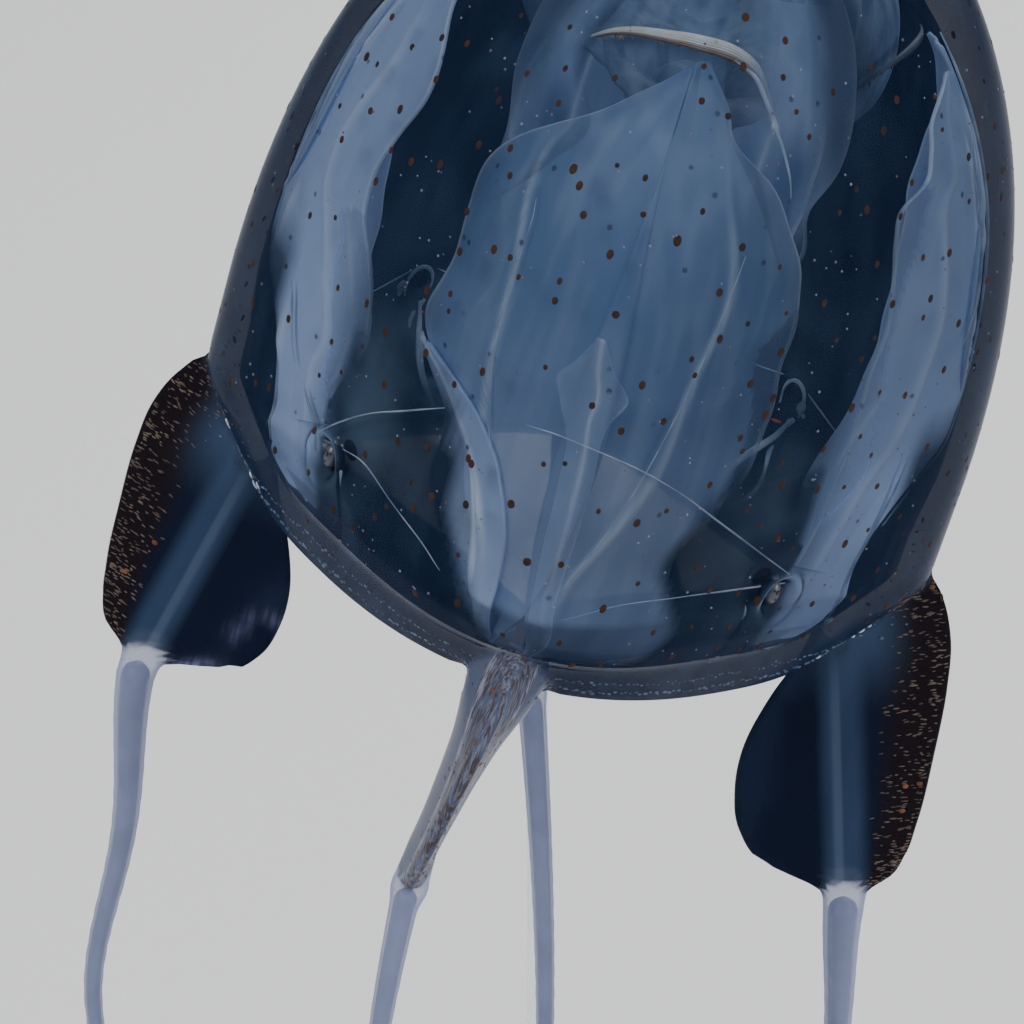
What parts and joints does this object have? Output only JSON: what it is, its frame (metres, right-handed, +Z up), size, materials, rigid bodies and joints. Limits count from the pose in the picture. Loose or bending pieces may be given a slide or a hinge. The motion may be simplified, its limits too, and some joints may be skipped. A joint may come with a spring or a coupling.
{
  "type": "box jellyfish",
  "caption": "Still, life-size box jellyfish with a tipped cube-like bell, a paddle and a tentacle at each corner, gonads and stomach showing through, on a plain disc stand.",
  "frame": {"origin": "centre of the stand's underside, on the surface it stands on", "axes": "+Z up; -Y towards the front corner of the bell; the bell's crown is tipped 15 degrees towards +X"},
  "size_m": [0.1, 0.1, 0.21],
  "materials": {
    "bell_jelly": "clear dark blue jelly with fine reddish-brown and pale warts",
    "velarium": "thin veined membrane",
    "gonad": "pale slate-blue leaf",
    "rhopalium": "small pigmented club",
    "stomach": "pale translucent membrane",
    "phacella": "cream threads",
    "pedalium": "dark translucent blade with golden-brown warts along its outer keel",
    "tentacle": "pale lilac, finely ringed",
    "stand_base": "satin black",
    "stand_rod": "clear polished"
  },
  "bodies": {
    "root": {"bell": "bell_jelly", "frenulum_back_left": "velarium", "frenulum_back_right": "velarium", "frenulum_front_left": "velarium", "frenulum_front_right": "velarium", "gonad_back_a": "gonad", "gonad_back_b": "gonad", "gonad_front_a": "gonad", "gonad_front_b": "gonad", "gonad_left_a": "gonad", "gonad_left_b": "gonad", "gonad_right_a": "gonad", "gonad_right_b": "gonad", "manubrium": "stomach", "pedalium_back": "pedalium", "pedalium_front": "pedalium", "pedalium_left": "pedalium", "pedalium_right": "pedalium", "phacella_back": "phacella", "phacella_front": "phacella", "phacella_left": "phacella", "phacella_right": "phacella", "rhopalium_back_left": "rhopalium", "rhopalium_back_right": "rhopalium", "rhopalium_front_left": "rhopalium", "rhopalium_front_right": "rhopalium", "stand_base": "stand_base", "stand_rod": "stand_rod", "stomach": "stomach", "tentacle_back_1": "tentacle", "tentacle_back_2": "tentacle", "tentacle_back_3": "tentacle", "tentacle_front_1": "tentacle", "tentacle_front_2": "tentacle", "tentacle_front_3": "tentacle", "tentacle_left_1": "tentacle", "tentacle_left_2": "tentacle", "tentacle_left_3": "tentacle", "tentacle_right_1": "tentacle", "tentacle_right_2": "tentacle", "tentacle_right_3": "tentacle", "velarium_back_left": "velarium", "velarium_back_right": "velarium", "velarium_front_left": "velarium", "velarium_front_right": "velarium"}
  },
  "joints": []
}
